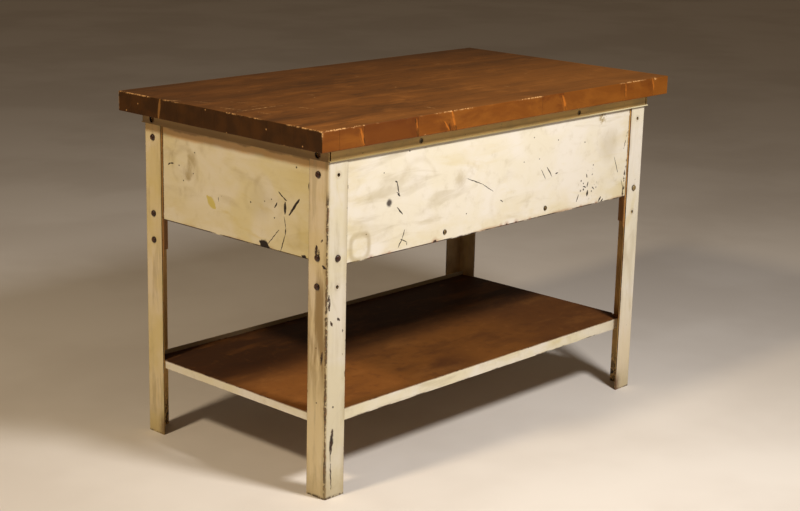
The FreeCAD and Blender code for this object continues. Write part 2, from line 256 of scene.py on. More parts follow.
class Finish(Nodes):
    """A material built up in layers. Each layer covers what is under it where its mask is 1."""

    def __init__(self, name, colour, roughness):
        self.material = bpy.data.materials.new(name)
        self.material.use_nodes = True
        super().__init__(self.material.node_tree)
        self.shader = self.tree.nodes["Principled BSDF"]
        self.place = self.add("ShaderNodeTexCoord").outputs["Object"]
        self.x, self.y, self.z = self.add("ShaderNodeSeparateXYZ", {0: self.place}).outputs
        normal = self.add("ShaderNodeNewGeometry").outputs["Normal"]
        self.facing = self.add("ShaderNodeSeparateXYZ", {0: normal}).outputs
        self.colour = colour
        self.roughness = roughness
        self.height = 0.0

    def stretched(self, scale, offset=0.0):
        """The place on the object, scaled along each axis and moved to another part of the noise."""
        scales = scale if isinstance(scale, tuple) else (scale,) * 3
        return self.vector("MULTIPLY_ADD", self.place, scales, (offset,) * 3)

    def noise(self, scale, offset=0.0, detail=4.0, rough=0.55, distortion=0.0):
        """Cloudy noise, mostly from 0.3 to 0.7. The scale is in clouds for each metre."""
        inputs = {
            "Vector": self.stretched(scale, offset),
            "Scale": 1.0,
            "Detail": detail,
            "Roughness": rough,
            "Distortion": distortion,
        }
        return self.add("ShaderNodeTexNoise", inputs).outputs[0]

    def speckle(self, scale, share, size, offset=0.0):
        """Small separate spots: one in each of that share of the cells."""
        inputs = {"Vector": self.stretched(scale, offset), "Scale": 1.0}
        cells = self.add("ShaderNodeTexVoronoi", inputs)
        chosen = self.add("ShaderNodeSeparateColor", {0: cells.outputs["Color"]}).outputs[0]
        spot = self.band(cells.outputs["Distance"], size, size * SPOT_CORE)
        return self.times(spot, self.math("LESS_THAN", chosen, share))

    def distance(self, point, place=None):
        """How far the place, or a shaken place, is from a point."""
        return self.vector("DISTANCE", place or self.place, point)

    def spot(self, centre, shake, reach, full):
        """A round mask with a shaken rim: 1 nearer than full to its centre, 0 beyond reach."""
        return self.near(self.plus(self.distance(centre), shake), reach, full)

    def wobbled(self, amount, scale):
        """The place on the object, shaken a little, so that a mark drawn with it has a ragged edge."""
        inputs = {"Vector": self.place, "Scale": scale, "Detail": 3.0}
        shake = self.add("ShaderNodeTexNoise", inputs).outputs["Color"]
        moved = self.vector("MULTIPLY_ADD", shake, (amount,) * 3, self.place)
        return self.vector("ADD", moved, (-amount / 2,) * 3)

    def scratches(self, rows, shake=3 * MM):
        """A mask of nearly straight marks. Each row is a start, an end and a width, in metres."""
        if not rows:
            return 0.0
        place = self.wobbled(shake, RAGGED_SCALE)
        result = 0.0
        for start, end, width in rows:
            mark = self.add("ShaderNodeGroup", node_tree=SCRATCH_GROUP)
            self.tree.links.new(place, mark.inputs["Place"])
            for key, value in (("Start", start), ("End", end), ("Width", width * SCRATCH_SPREAD)):
                mark.inputs[key].default_value = value
            result = self.most(result, mark.outputs[0])
        return result

    def cover(self, mask, colour, roughness=None, height=0.0):
        """Lays a colour over the finish where the mask is 1, with its own roughness and relief."""
        self.colour = self.mix(mask, self.colour, colour)
        if roughness is not None:
            self.roughness = self.blend(mask, self.roughness, roughness)
        if height:
            self.height = self.math("MULTIPLY_ADD", mask, height, self.height)

    def tint(self, value, start, full, share, colour, *surface):
        """Covers the finish where the value goes from start to full, up to that share."""
        self.cover(self.partly(value, start, full, share), colour, *surface)

    def texture(self, value, height):
        """Adds relief without changing the colour."""
        self.height = self.math("MULTIPLY_ADD", value, height, self.height)

    def done(self, **uniform):
        """Links colour, roughness and relief to the shader, and sets its uniform values."""
        for name, value in uniform.items():
            self.shader.inputs[name.replace("_", " ")].default_value = value
        links = self.tree.links
        links.new(self.colour, self.shader.inputs["Base Color"])
        if isinstance(self.roughness, bpy.types.NodeSocket):
            links.new(self.roughness, self.shader.inputs["Roughness"])
        else:
            self.shader.inputs["Roughness"].default_value = self.roughness
        bump = self.add("ShaderNodeBump", {"Strength": 1.0, "Distance": 1.0, "Height": self.height})
        links.new(bump.outputs[0], self.shader.inputs["Normal"])
        return self.material


def scratch_group():
    """A node group: 1 on a mark from Start to End that is Width wide in its middle, 0 off it."""
    tree = bpy.data.node_groups.new("scratch", "ShaderNodeTree")
    for name in ("Place", "Start", "End"):
        tree.interface.new_socket(name, in_out="INPUT", socket_type="NodeSocketVector")
    tree.interface.new_socket("Width", in_out="INPUT", socket_type="NodeSocketFloat")
    tree.interface.new_socket("Mask", in_out="OUTPUT", socket_type="NodeSocketFloat")
    n = Nodes(tree)
    place, start, end, width = list(n.add("NodeGroupInput").outputs)[:4]
    away = n.vector("SUBTRACT", place, start)
    line = n.vector("SUBTRACT", end, start)
    products = [n.vector("DOT_PRODUCT", other, line) for other in (away, line)]
    along = n.add("ShaderNodeClamp", {0: n.math("DIVIDE", *products)}).outputs[0]
    foot = n.add("ShaderNodeVectorMath", {0: line, "Scale": along}, operation="SCALE").outputs[0]
    gap = n.vector("LENGTH", n.vector("SUBTRACT", away, foot))
    from_middle = n.math("MULTIPLY_ADD", along, 2.0, -1.0)
    taper = n.math("MULTIPLY_ADD", n.times(from_middle, from_middle), END_SHARE - 1.0, 1.0)
    half = n.times(n.times(width, 0.5), taper)
    n.add("NodeGroupOutput", {"Mask": n.band(n.math("DIVIDE", gap, half), RIM_OUTSIDE, RIM_INSIDE)})
    return tree


SCRATCH_GROUP = scratch_group()


def on_face(axis, place, rows):
    """Marks on the flat face at that place along an axis. Each row is where a mark starts and ends
    along the two other axes and how wide it is, in millimetres."""
    def at(a, b):
        point = [a * MM, b * MM]
        point.insert("xyz".index(axis), place)
        return tuple(point)

    return [(at(a, b), at(c, d), w * MM) for a, b, c, d, w in rows]


def dots(spots):
    """Round spots, given as two places and a width. They are marks so short that only their ends
    show, and a mark's ends are narrower than its middle."""
    return tuple((a, b, a + DOT_LENGTH, b, w * DOT_SIZE / END_SHARE) for a, b, w in spots)


def beside(rows, shift, width, spread):
    """The same marks moved sideways, as wide as that width and that share of their own."""
    return [(a + shift, b, c + shift, d, width + w * spread) for a, b, c, d, w in rows]


# ---- wood ----
# marks are two places on a face and a width, in millimetres, as on_face takes them
TOP_SCRATCHES = (
    (-615, -50, -465, -52, 3), (-612, 30, -590, -65, 2.5), (-585, -85, -580, -125, 2.5),
    (-234, -272, -234, -302, 4), (261, 84, 261, 96, 3), (364, -84, 364, -94, 3),
    (492, -202, 492, -212, 3), (150, -190, 156, -206, 3), (-560, -20, -500, -30, 2),
    (-540, 60, -520, 20, 2), (-600, 120, -586, 70, 2), (-470, -90, -455, -130, 2.5),
    (-330, 20, -318, 6, 2.5), (-30, 160, -18, 150, 2.5), (300, 180, 316, 176, 2.5),
)
JOINT_STREAKS = (
    (-524, 856, -512, 820, 5), (-226, 862, -213, 820, 6), (-250, 842, -234, 820, 3),
    (-346, 858, -339, 822, 2.5), (186, 856, 201, 822, 6), (450, 860, 453, 826, 3),
    (570, 862, 577, 834, 3.5),
)
JOINT_BLOTS = (
    (-216, 829, -210, 817, 8), (-342, 836, -339, 818, 6), (-236, 836, -230, 818, 4),
    (-350, 858, -348, 850, 4), (198, 830, 200, 820, 4), (-514, 836, -510, 820, 4),
)
END_DRIP = ((193, 864, 200, 816, 7.0),)
END_DOTS = (
    (276, 842, 4), (320, 821, 4), (-174, 844, 4.5), (31, 860, 4),
    (-42, 818, 4), (-231, 816, 5), (-289, 823, 4.5),
)
EDGE_STREAK = ((-640, 172, -622, 138, 5.0),)
# beside each joint streak: how far over, how wide, and how much of the streak's own width
JOINT_SHADOW = (-5, 2.5, 0.0)
JOINT_STAIN = (-12, 22.0, 0.0)
JOINT_GLOW = (-2, 0.0, 2.2)

# layers of the top, in order: pattern, where it starts and is full, strength and colour
TOP_LAYERS = (
    ("wide", 0.52, 0.34, 0.55, WOOD_TOP_DARK),
    ("streaks", 0.52, 0.32, 0.36, WOOD_TOP_DARK),
    ("streaks", 0.52, 0.7, 0.42, WOOD_TOP_WORN),
    ("dirt", 0.5, 0.66, 0.4, WOOD_TOP_WORN),
    ("blots", 0.44, 0.3, 0.35, WOOD_TOP_DARK),
    ("wide", 0.54, 0.7, 0.35, WOOD_TOP_WORN),
    ("dirt", 0.46, 0.28, 0.5, WOOD_TOP_DARK),
    ("fine", 0.62, 0.4, 0.14, WOOD_TOP_DARK),
)
# worn and dark parts of the top, the first row painted light towards the front right and the second
# painted shade towards the back: where each starts and is full along X and Y, strength, colour
EVERYWHERE = (-2.0, -1.0)
TOP_REGIONS = (
    # painted light: lighter towards the front right
    ((-0.3, 0.5), (0.3, -0.2), 0.4, WOOD_TOP_WORN),
    # painted shade: darker towards the back
    (EVERYWHERE, (-0.1, 0.38), 0.42, WOOD_TOP_DARK),
    ((-0.25, -0.6), (-0.3, 0.0), 0.3, WOOD_TOP_DARK),
    ((0.3, 0.62), (0.12, 0.34), 0.45, WOOD_TOP_DARK),
)
# layers of the long sides, which show the face of a board
SIDE_LAYERS = (
    ("streaks", 0.58, 0.36, 0.7, WOOD_SIDE_DARK),
    ("dirt", 0.48, 0.66, 0.5, WOOD_SIDE_PALE),
    ("board", 0.5, 1.0, 0.8, WOOD_SIDE_DARK),
    ("board", 0.5, 0.0, 0.8, WOOD_SIDE_PALE),
)
SIDE_SKIN = (14 * MM, 12 * MM)
STRIP_CONTRAST_TOP = 0.14
STRIP_CONTRAST_END = 0.25


def maple():
    """Varnished strips with soft streaks along the grain, dark at the back with painted shade, and the
    dirty ends.
    """
    f = Finish("worn_maple", WOOD_TOP, 0.46)
    strip = f.math("FLOOR", f.math("DIVIDE", f.minus(f.y, BLOCK_LOW.y), STAVE_WIDTH))
    random_tone = f.add("ShaderNodeTexWhiteNoise", {"W": strip}, noise_dimensions="1D")
    strip_tone = random_tone.outputs["Value"]
    chip = f.add("ShaderNodeAttribute", attribute_name="chip").outputs["Fac"]
    streaks = f.noise((1.5, 15, 15), 3, 5, 0.58, 0.5)
    fine = f.noise((12, 380, 380), 7, 3, 0.6)
    dirt = f.noise((7, 15, 15), 23, 6, 0.68, 0.5)
    patterns = {
        "streaks": streaks,
        "fine": fine,
        "dirt": dirt,
        "wide": f.noise((1.1, 5.5, 5.5), 29, 4, 0.55, 0.7),
        "blots": f.noise((16, 34, 34), 61, 5, 0.65),
        "board": f.add("ShaderNodeAttribute", attribute_name="board").outputs["Fac"],
    }

    # the top face
    for pattern, start, full, share, colour in TOP_LAYERS:
        f.tint(patterns[pattern], start, full, share, colour)
    f.cover(f.times(strip_tone, STRIP_CONTRAST_TOP), WOOD_TOP_DARK)
    for along, across, share, colour in TOP_REGIONS:
        region = f.times(f.band(f.x, *along), f.band(f.y, *across))
        f.cover(f.times(region, share), colour)

    # the seams between the strips, and the long sides, more orange, each board its own tone
    crosswise = f.unsigned(f.facing[1])
    f.tint(crosswise, 0.2, 0.6, 0.7, WOOD_END_DARK)
    long_side = WOOD_SIDE
    for pattern, start, full, share, colour in SIDE_LAYERS:
        long_side = f.tinted(long_side, patterns[pattern], start, full, share, colour)
    skin_start, skin_full = (BLOCK_HIGH.y - depth for depth in SIDE_SKIN)
    outer = f.band(f.unsigned(f.y), skin_start, skin_full)
    f.cover(f.times(f.band(crosswise, 0.55, 0.8), outer), long_side, 0.5)

    # the ends are dark, dirty end grain
    grain = f.band(f.noise((20, 22, 22), 5, 5), 0.38, 0.64)
    end_grain = f.mix(grain, WOOD_END_DARK, WOOD_END)
    end_grain = f.mix(f.times(strip_tone, STRIP_CONTRAST_END), end_grain, WOOD_END_DARK)
    f.cover(f.band(f.unsigned(f.facing[0]), 0.55, 0.8), end_grain, 0.6)

    # the underside was never varnished
    f.cover(f.band(f.facing[2], -0.5, -0.8), f.mix(dirt, WOOD_END, WOOD_SIDE), 0.75)

    # where the boards of the front strip meet: a torn pale streak with a dark line beside it
    def front_marks(rows, shake):
        return f.scratches(on_face("y", BLOCK_LOW.y, rows), shake)

    torn = f.noise((90, 90, 60), 37, 4, 0.6)
    stain = front_marks(beside(JOINT_STREAKS, *JOINT_STAIN), 12 * MM)
    glow = front_marks(beside(JOINT_STREAKS, *JOINT_GLOW), 5 * MM)
    streak = front_marks(JOINT_STREAKS, 5 * MM)
    shadow = front_marks(beside(JOINT_STREAKS, *JOINT_SHADOW), 5 * MM)
    f.cover(f.times(stain, f.partly(dirt, 0.6, 0.4, 0.45)), WOOD_SIDE_DARK)
    f.cover(f.times(glow, 0.22), WOOD_ORANGE)
    f.cover(f.times(streak, f.partly(torn, 0.22, 0.5, 0.75)), WOOD_ORANGE)
    f.cover(f.times(shadow, f.partly(torn, 0.62, 0.36, 0.65)), WOOD_END_DARK)
    f.cover(f.times(front_marks(JOINT_BLOTS, 6 * MM), 0.6), WOOD_END_DARK)

    # a drip and pale nicks on the left end, and scratches on the top
    f.cover(f.times(f.scratches(on_face("x", BLOCK_LOW.x, END_DRIP)), 0.7), DRIP_TAN)
    nicks = f.scratches(on_face("x", BLOCK_LOW.x, dots(END_DOTS)))
    f.cover(f.times(nicks, 0.8), WOOD_BARE)
    broken = f.band(f.noise((60, 120, 120), 31), 0.34, 0.62)
    scratched = f.scratches(on_face("z", BLOCK_HIGH.z, TOP_SCRATCHES + EDGE_STREAK), 9 * MM)
    f.cover(f.times(f.times(scratched, broken), 0.55), WOOD_BARE, *SPLINTERED)
    f.cover(f.times(f.speckle(26.0, 0.05, 0.08, 3.0), 0.6), WOOD_BARE, *SPLINTERED)

    # a thin pale line on the edges, partly wear and partly painted highlight, and bare wood where they
    # are broken out
    from_x = f.minus(BLOCK_HIGH.x, f.unsigned(f.x))
    from_y = f.minus(BLOCK_HIGH.y, f.unsigned(f.y))
    from_top = f.minus(BLOCK_HIGH.z, f.z)
    edge = f.least(f.most(from_x, from_y), f.most(from_y, from_top), f.most(from_x, from_top))
    ragged = f.noise(200, 41, 4, 0.6)
    patchy = f.noise(11, 43, 3)
    rubbed = f.times(f.near(edge, 3.4, 1.0), f.band(patchy, 0.46, 0.6))
    f.cover(f.times(rubbed, f.band(ragged, 0.42, 0.58)), WOOD_BARE, 0.75)
    broken_out = f.times(f.band(chip, 0.25, 0.6), f.band(ragged, 0.42, 0.54))
    f.cover(f.times(broken_out, 0.8), WOOD_BARE, 0.8)

    f.texture(fine, 0.08 * MM)
    f.texture(streaks, 0.5 * MM)
    f.texture(dirt, 0.25 * MM)
    f.roughness = f.blend(f.band(dirt, 0.35, 0.65), f.roughness, 0.58)
    return f.done(Specular_IOR_Level=0.2)


# ---- paint ----
def cream_coat(name, warm, grime, seed, upright=1.0, wiped=(4, 4, 17)):
    """Old cream enamel over steel: uneven yellowing, wiped grey smears, faint tide lines."""
    f = Finish(name, CREAM, 0.4)
    clouds = f.noise((5, 5, 7), seed, 4, 0.55, 0.6)
    smear = f.noise(wiped, seed + 9, 5, 0.6, 0.9)
    tides = f.noise((6, 6, 9), seed + 21, 2, 0.4, 0.8)
    rubbed = f.noise((34, 34, 34 * upright), seed + 17, 4, 0.6)
    f.tint(clouds, 0.36, 0.62, warm, CREAM_WARM)
    f.tint(smear, 0.54, 0.72, grime, CREAM_GREY, 0.5)
    f.tint(rubbed, 0.52, 0.78, grime * 0.7, CREAM_GREY, 0.55)
    f.tint(smear, 0.42, 0.24, warm * 0.8, CREAM_YELLOW)
    line = f.band(f.unsigned(f.minus(tides, 0.52)), 0.016, 0.0)
    f.cover(f.times(line, f.partly(clouds, 0.46, 0.62, grime * 0.1)), OLIVE)
    f.texture(f.noise(95, seed + 3, 3), 0.08 * MM)
    f.texture(clouds, 1.4 * MM)
    f.texture(smear, 0.4 * MM)
    return f


def rust_colour(f, seed):
    """Rust that turns from nearly black through brown to orange."""
    shade = f.noise(70, seed, 5, 0.65)
    brown = f.mix(f.band(shade, 0.35, 0.6), RUST_BLACK, RUST_DARK)
    return f.mix(f.band(shade, 0.56, 0.78), brown, RUST_BROWN)


def chips(f, share, size, seed):
    """Paint knocked off in small flakes, down to rusty metal."""
    rust = rust_colour(f, seed)
    f.cover(f.speckle(34.0, share, size, seed), rust, 0.8, -0.15 * MM)
    smaller = f.speckle((80.0, 80.0, 60.0), share * 0.6, size * 1.2, seed + 5.0)
    f.cover(smaller, rust, *FLAKED)
    return rust


def bolt_distances(f):
    """How far a place on a leg is from each bolt's middle, for both flanges of the angle."""
    from_middle = (
        f.minus(f.unsigned(f.x), LEG_X - BOLT_LINE),
        f.minus(f.unsigned(f.y), LEG_Y - BOLT_LINE),
    )
    for row in BOLT_ROWS:
        up = f.minus(f.z, row)
        for across in from_middle:
            yield f.hypotenuse(across, up)


# the rubbed corner of a leg: how fast the wear fades along the end face, how uneven it is in mm,
# the strength of the soil beside it, and the bare line's outer edge, inner edge (mm) and strength
NEAR_CORNER = (0.9, 9, 0.45, 4.5, 3.7, 0.9)
FAR_CORNER = (1.4, 4, 0.15, 4.4, 3.4, 0.3)
CORNER_FADE_FRONT = 1.7


def leg_paint(leg):
    """Cream paint outside with a rubbed corner, yellowed and stained inside the angle."""
    near = leg == NEAR_LEG
    seed = LEG_SEED_STEP * (1 + LEGS.index(leg))
    warm = 0.4 if leg == RIGHT_LEG else 0.7
    f = cream_coat(leg + "_paint", warm, 0.55, seed, 0.1, (22, 22, 5))
    ends = f.band(f.unsigned(f.facing[0]), 0.5, 0.8)
    streaky = f.noise((42, 42, 5), seed + 31, 5, 0.62)
    if near:
        f.cover(f.times(f.minus(1.0, ends), 0.3), CREAM_GREY)
    if leg == RIGHT_LEG:
        f.tint(f.z, 330 * MM, 90 * MM, 0.36, CREAM_OCHRE)
    f.cover(f.times(ends, 0.44), CREAM_OCHRE)
    stained = 0.18 if leg == LEFT_LEG else 0.38
    f.cover(f.times(ends, f.partly(streaky, 0.5, 0.66, stained)), OLIVE, 0.5)
    # painted shade: a brown band under the ring on the end faces
    f.cover(f.times(ends, f.partly(f.z, 762 * MM, 774 * MM, 0.7)), RING_SHADOW_BROWN)
    f.tint(streaky, 0.54, 0.72, 0.3, CREAM_GREY, 0.5)
    rust = chips(f, 0.03, 0.085, seed)
    x, y = f.unsigned(f.x), f.unsigned(f.y)
    from_x, from_y = f.minus(x, LEG_X), f.minus(y, LEG_Y)
    ragged = f.noise((150, 150, 90), seed + 2, 5, 0.65)
    uneven = f.noise((12, 12, 9), seed + 6, 3)
    worn = f.mix(f.band(ragged, 0.44, 0.66), RUST_BLACK if near else RUST_DARK, RUST_SOFT)

    # the bend is rubbed through to a thin broken line, more on the end than on the front
    fade, bumps, soil, outside, inside, strength = NEAR_CORNER if near else FAR_CORNER
    corner = f.hypotenuse(f.times(from_x, CORNER_FADE_FRONT), f.times(from_y, fade))
    reach = f.plus(corner, f.times(f.minus(0.5, uneven), bumps * MM))
    reach = f.plus(reach, f.times(f.minus(0.5, ragged), 9 * MM))
    f.tint(reach, 13 * MM, 4 * MM, soil, OLIVE, 0.5)
    line = f.times(f.band(reach, outside * MM, inside * MM), f.band(ragged, 0.38, 0.46))
    line = f.times(line, f.band(f.plus(f.z, f.times(uneven, 60 * MM)), 766 * MM, 730 * MM))
    f.cover(f.times(line, strength), worn, 0.75, -0.15 * MM)

    # paint soiled towards the flanges' edges, and rust on the cut edges
    free = f.least(f.minus(x, LEG_X - LEG_FLANGE), f.minus(y, LEG_Y - LEG_FLANGE))
    soiled = f.times(f.near(free, 16, 0), f.band(uneven, 0.36, 0.62))
    f.cover(f.times(soiled, 0.35), OLIVE, 0.5)
    nicked = f.times(f.near(free, 2.0, 0.6), f.band(ragged, 0.56, 0.64))
    f.cover(f.times(nicked, f.band(uneven, 0.46, 0.6)), rust, *FLAKED)
    cut_edge = f.near(free, 0.6, 0.2)
    f.cover(cut_edge, f.mix(f.band(ragged, 0.32, 0.52), RUST_ORANGE, RUST_DARK), 0.8)

    # dirt and rust creep up from the foot
    grimy = f.plus(f.z, f.times(ragged, -60 * MM))
    f.tint(grimy, 60 * MM, -30 * MM, 0.45, OLIVE, 0.5)
    foot = f.band(f.plus(f.z, f.times(uneven, -11 * MM)), 1 * MM, -4 * MM)
    f.cover(f.times(foot, f.partly(ragged, 0.4, 0.54, 0.85)), rust, 0.85, -0.1 * MM)

    # brown stains by the cut edge at the feet of the far legs, and the left one is yellower
    if not near:
        stain = f.band(f.plus(f.z, f.times(uneven, -60 * MM)), 46 * MM, 0.0)
        by_edge = f.band(f.plus(free, f.times(ragged, 24 * MM)), 38 * MM, 14 * MM)
        f.cover(f.times(f.times(stain, by_edge), 0.85), RUST_BROWN, 0.7)
    if leg == LEFT_LEG:
        f.tint(uneven, 0.36, 0.62, 0.5, CREAM_YELLOW)
        f.cover(f.times(f.band(streaky, 0.5, 0.64), f.partly(uneven, 0.6, 0.4, 0.35)), OLIVE)

    # a brown halo round each bolt, and painted shade: dark walls in the open holes
    for away in bolt_distances(f):
        halo = f.plus(away, f.times(ragged, 6 * MM))
        f.tint(halo, 15 * MM, 9.5 * MM, 0.18, STEEL_BROWN, 0.7)
        f.cover(f.near(away, 4.6, 4.1), RUST_BLACK, 0.9)

    if near:
        smudge = f.times(f.near(f.z, 610, 480), f.band(f.z, 210 * MM, 330 * MM))
        smudge = f.times(smudge, f.partly(streaky, 0.36, 0.58, 0.85))
        f.cover(f.times(ends, smudge), OLIVE_DARK)
        rows = on_face("y", -LEG_Y, NEAR_LEG_FRONT) + on_face("x", -LEG_X, NEAR_LEG_LEFT)
        knocked = f.times(f.scratches(rows, 6 * MM), f.band(ragged, 0.36, 0.48))
        f.cover(knocked, rust, *KNOCKED)

    # behind the ring the paint never went on
    f.cover(f.band(f.z, RAIL_LOW.z, RAIL_LOW.z + 2 * MM), RUST_BLACK, 0.85)

    # inside the angle
    inner_face = f.band(f.most(from_x, from_y), -LEG_THICK * 0.5, -LEG_THICK * 0.8)
    bare = STEEL_GREY if leg == BACK_LEG else STEEL_OCHRE
    bare = f.tinted(bare, uneven, 0.42, 0.66, 0.45, STEEL_BROWN)
    bare = f.tinted(bare, streaky, 0.5, 0.7, 0.45, CREAM_YELLOW)
    bare = f.tinted(bare, ragged, 0.62, 0.72, 0.6, RUST_BROWN)
    eaten = f.times(f.near(f.z, 150, 10), f.band(ragged, 0.62, 0.44))
    f.cover(inner_face, f.mix(eaten, bare, RUST_BLACK), 0.7)
    return f.done()


NEAR_LEG_FRONT = (
    (-583, 485, -581, 450, 7), (-555, 428, -549, 420, 5), (-577, 424, -570, 412, 4),
    (-538, 398, -538, 393, 4), (-566, 222, -566, 218, 4), (-566, 168, -572, 108, 9),
    (-573, 110, -569, 22, 3), (-528, 300, -528, 282, 4),
)
NEAR_LEG_LEFT = (
    (-283, 592, -287, 562, 12), (-304, 352, -301, 322, 6), (-301, 551, -312, 545, 5),
    (-302, 610, -296, 604, 4),
)
FRONT_SCRATCHES = (
    (-374, 714, -366, 710, 3), (-368, 712, -360, 680, 3), (-368, 687, -357, 676, 3),
    (-366, 652, -347, 633, 3), (-339, 595, -346, 576, 2.5), (-346, 576, -360, 556, 2.5),
    (-352, 575, -331, 565, 2), (-331, 565, -331, 557, 2), (-128, 687, -68, 664, 1.8),
    (-68, 664, -25, 639, 1.8), (2, 614, 12, 608, 2.5), (155, 673, 181, 636, 1.6),
    (181, 672, 202, 646, 2.6), (216, 651, 226, 652, 2.5), (465, 661, 487, 612, 2),
    (501, 597, 513, 568, 1.6), (317, 581, 309, 563, 2.6), (347, 631, 351, 622, 3),
    (356, 610, 352, 597, 4), (355, 587, 354, 573, 6.5), (374, 594, 384, 586, 2.6),
    (335, 601, 345, 598, 3), (415, 562, 404, 550, 4), (424, 555, 415, 549, 4),
    (-526, 727, -527, 716, 2.5),
)
LEFT_SCRATCHES = (
    (-156, 693, -171, 683, 3), (-171, 683, -183, 677, 3), (-178, 673, -178, 646, 6.5),
    (-224, 687, -191, 646, 5.5), (-152, 668, -143, 655, 3.5), (-175, 640, -181, 613, 1.8),
    (-181, 613, -179, 599, 3), (-179, 599, -164, 558, 2.4), (-159, 607, -121, 566, 1.8),
    (232, 695, 224, 700, 3), (224, 700, 212, 702, 3), (50, 646, 49, 635, 1.5),
    (-255, 730, -255, 712, 4),
)
FAR_SCRATCHES = (
    (-300, 700, -278, 662, 2.2), (-240, 690, -235, 668, 3), (60, 610, 112, 596, 1.6),
    (352, 700, 366, 684, 2.5), (366, 684, 394, 662, 1.8), (408, 586, 416, 566, 2.4),
    (-96, 572, -90, 560, 3),
)
FRONT_DOTS = (
    (89, 697, 4), (149, 697, 4), (125, 754, 4), (222, 736, 4.5),
    (334, 717, 5), (375, 652, 5), (-465, 605, 4.5), (-123, 599, 4.5),
    (-328, 778, 4.5),
)
LEFT_DOTS = (
    (134, 739, 5), (191, 699, 5), (-214, 758, 6), (-63, 654, 5),
    (139, 688, 4), (176, 665, 4.5), (-143, 631, 5), (-110, 664, 4),
    (-133, 672, 4),
)
# broken places along the front apron's foot: where, and how far each one reaches
FOOT_CHIPS = (
    (-450, 8), (-389, 6), (-234, 11), (8, 7),
    (30, 9), (66, 9), (120, 6), (330, 6),
    (395, 7),
)
END_CRACKS = (
    (519, 723, 512, 700, 2.6), (512, 700, 505, 676, 2.2), (516, 619, 514, 588, 7),
    (515, 580, 512, 549, 9), (520, 650, 518, 624, 3),
)
# arcs left by wet pans: across, up, radius and strength
FRONT_ARCS = (
    (-300, 690, 62, 0.26), (-430, 640, 48, 0.18), (40, 600, 70, 0.14),
)
LEFT_ARCS = (
    (-110, 693, 30, 0.45), (-75, 668, 34, 0.35), (-190, 622, 38, 0.3), (170, 700, 45, 0.35),
    (-205, 600, 26, 0.3),
)
YELLOW_MARK = ((88, 640, 62, 618, 17.0),)
LOW_CHIPS = ((-96, 566, -124, 558, 19.0), (-236, 560, -250, 555, 9.0))

# single marks: the first five on the front apron, the last two on the left one
FLECKS = (357 * MM, APRON_FACE_Y, 604 * MM)
DENT = (-392 * MM, APRON_FACE_Y, 666 * MM)
GREEN_SPOT = (405 * MM, APRON_FACE_Y, 772 * MM)
SMUDGE = (-149 * MM, APRON_FACE_Y, 687 * MM)
CLOUD = (440 * MM, APRON_FACE_Y, 700 * MM)
SMOKE = (APRON_FACE_X, 175 * MM, 712 * MM)
SHADE = (APRON_FACE_X, -95 * MM, 660 * MM)
# the square pan's mark on the front apron: its middle along X and up, half its width, and the
# power that makes its corners tighter than a circle's
PAN_MARK = (-485 * MM, 579 * MM)
PAN_SIZE = 29 * MM
PAN_SQUARENESS = 3


def pan_arcs(f, arcs, face_point, uneven):
    """Faint rings with paler middles."""
    place = f.wobbled(26 * MM, 14.0)
    for across, up, radius, strength in arcs:
        away = f.distance(face_point(across * MM, up * MM), place)
        line = f.band(f.unsigned(f.minus(away, radius * MM)), 12 * MM, 0.0)
        f.cover(f.times(line, f.partly(uneven, 0.4, 0.62, strength * 0.7)), OLIVE)
        f.tint(away, radius * MM, radius * MM * 0.7, strength * 0.25, CREAM)


def knock_marks(f, rows, ragged):
    """Paint knocked off in sharp marks, nearly black."""
    mask = f.times(f.scratches(rows, 4 * MM), f.band(ragged, 0.28, 0.4))
    f.cover(mask, KNOCK, *KNOCKED)


def front_apron_marks(f, foot, rust, ragged, uneven):
    """What the front apron alone has, from the wide stains to the small knocks."""
    pan_arcs(f, FRONT_ARCS, lambda across, up: (across, APRON_FACE_Y, up), uneven)
    knock_marks(f, on_face("y", APRON_FACE_Y, FRONT_SCRATCHES + dots(FRONT_DOTS)), ragged)
    cracks = f.scratches(on_face("y", APRON_FACE_Y, END_CRACKS), 8 * MM)
    f.cover(f.times(cracks, f.band(ragged, 0.44, 0.56)), rust, *KNOCKED)
    flecks = f.band(f.distance(FLECKS), 46 * MM, 30 * MM)
    flecks = f.times(flecks, f.band(ragged, 0.4, 0.5))
    f.cover(f.times(flecks, f.speckle(105.0, 0.42, 0.4, 9.0)), KNOCK, *KNOCKED)

    # |x|^3 + |z|^3 draws the outline of something square with round corners
    powers = [
        f.math("POWER", f.unsigned(f.minus(along, middle)), PAN_SQUARENESS)
        for along, middle in zip((f.x, f.z), PAN_MARK)
    ]
    away = f.math("POWER", f.plus(*powers), 1 / PAN_SQUARENESS)
    outline = f.band(f.unsigned(f.minus(away, PAN_SIZE)), 10 * MM, 1 * MM)
    f.cover(f.times(outline, f.partly(uneven, 0.25, 0.5, 0.5)), OLIVE)

    for across, reach in FOOT_CHIPS:
        away = f.distance((across * MM, APRON_FACE_Y, foot))
        f.tint(away, reach * 1.6 * MM, 0.0, 0.6, RUST_ORANGE, 0.7)
        broken = f.plus(away, f.times(ragged, 10 * MM))
        f.cover(f.band(broken, (reach + 1) * MM, (reach - 1) * MM), rust, 0.8)
    dent = f.spot(DENT, f.times(ragged, 6 * MM), 15, 8)
    f.cover(f.times(dent, 0.92), DENT_BLACK, 0.6, -0.8 * MM)
    green = f.band(f.distance(GREEN_SPOT), 24 * MM, 4 * MM)
    f.cover(f.times(green, f.band(ragged, 0.46, 0.6)), OLIVE)
    f.cover(f.times(f.spot(SMUDGE, f.times(ragged, 30 * MM), 48, 14), 0.45), OLIVE)
    f.cover(f.times(f.spot(CLOUD, f.times(uneven, 60 * MM), 95, 35), 0.45), CREAM_GREY)


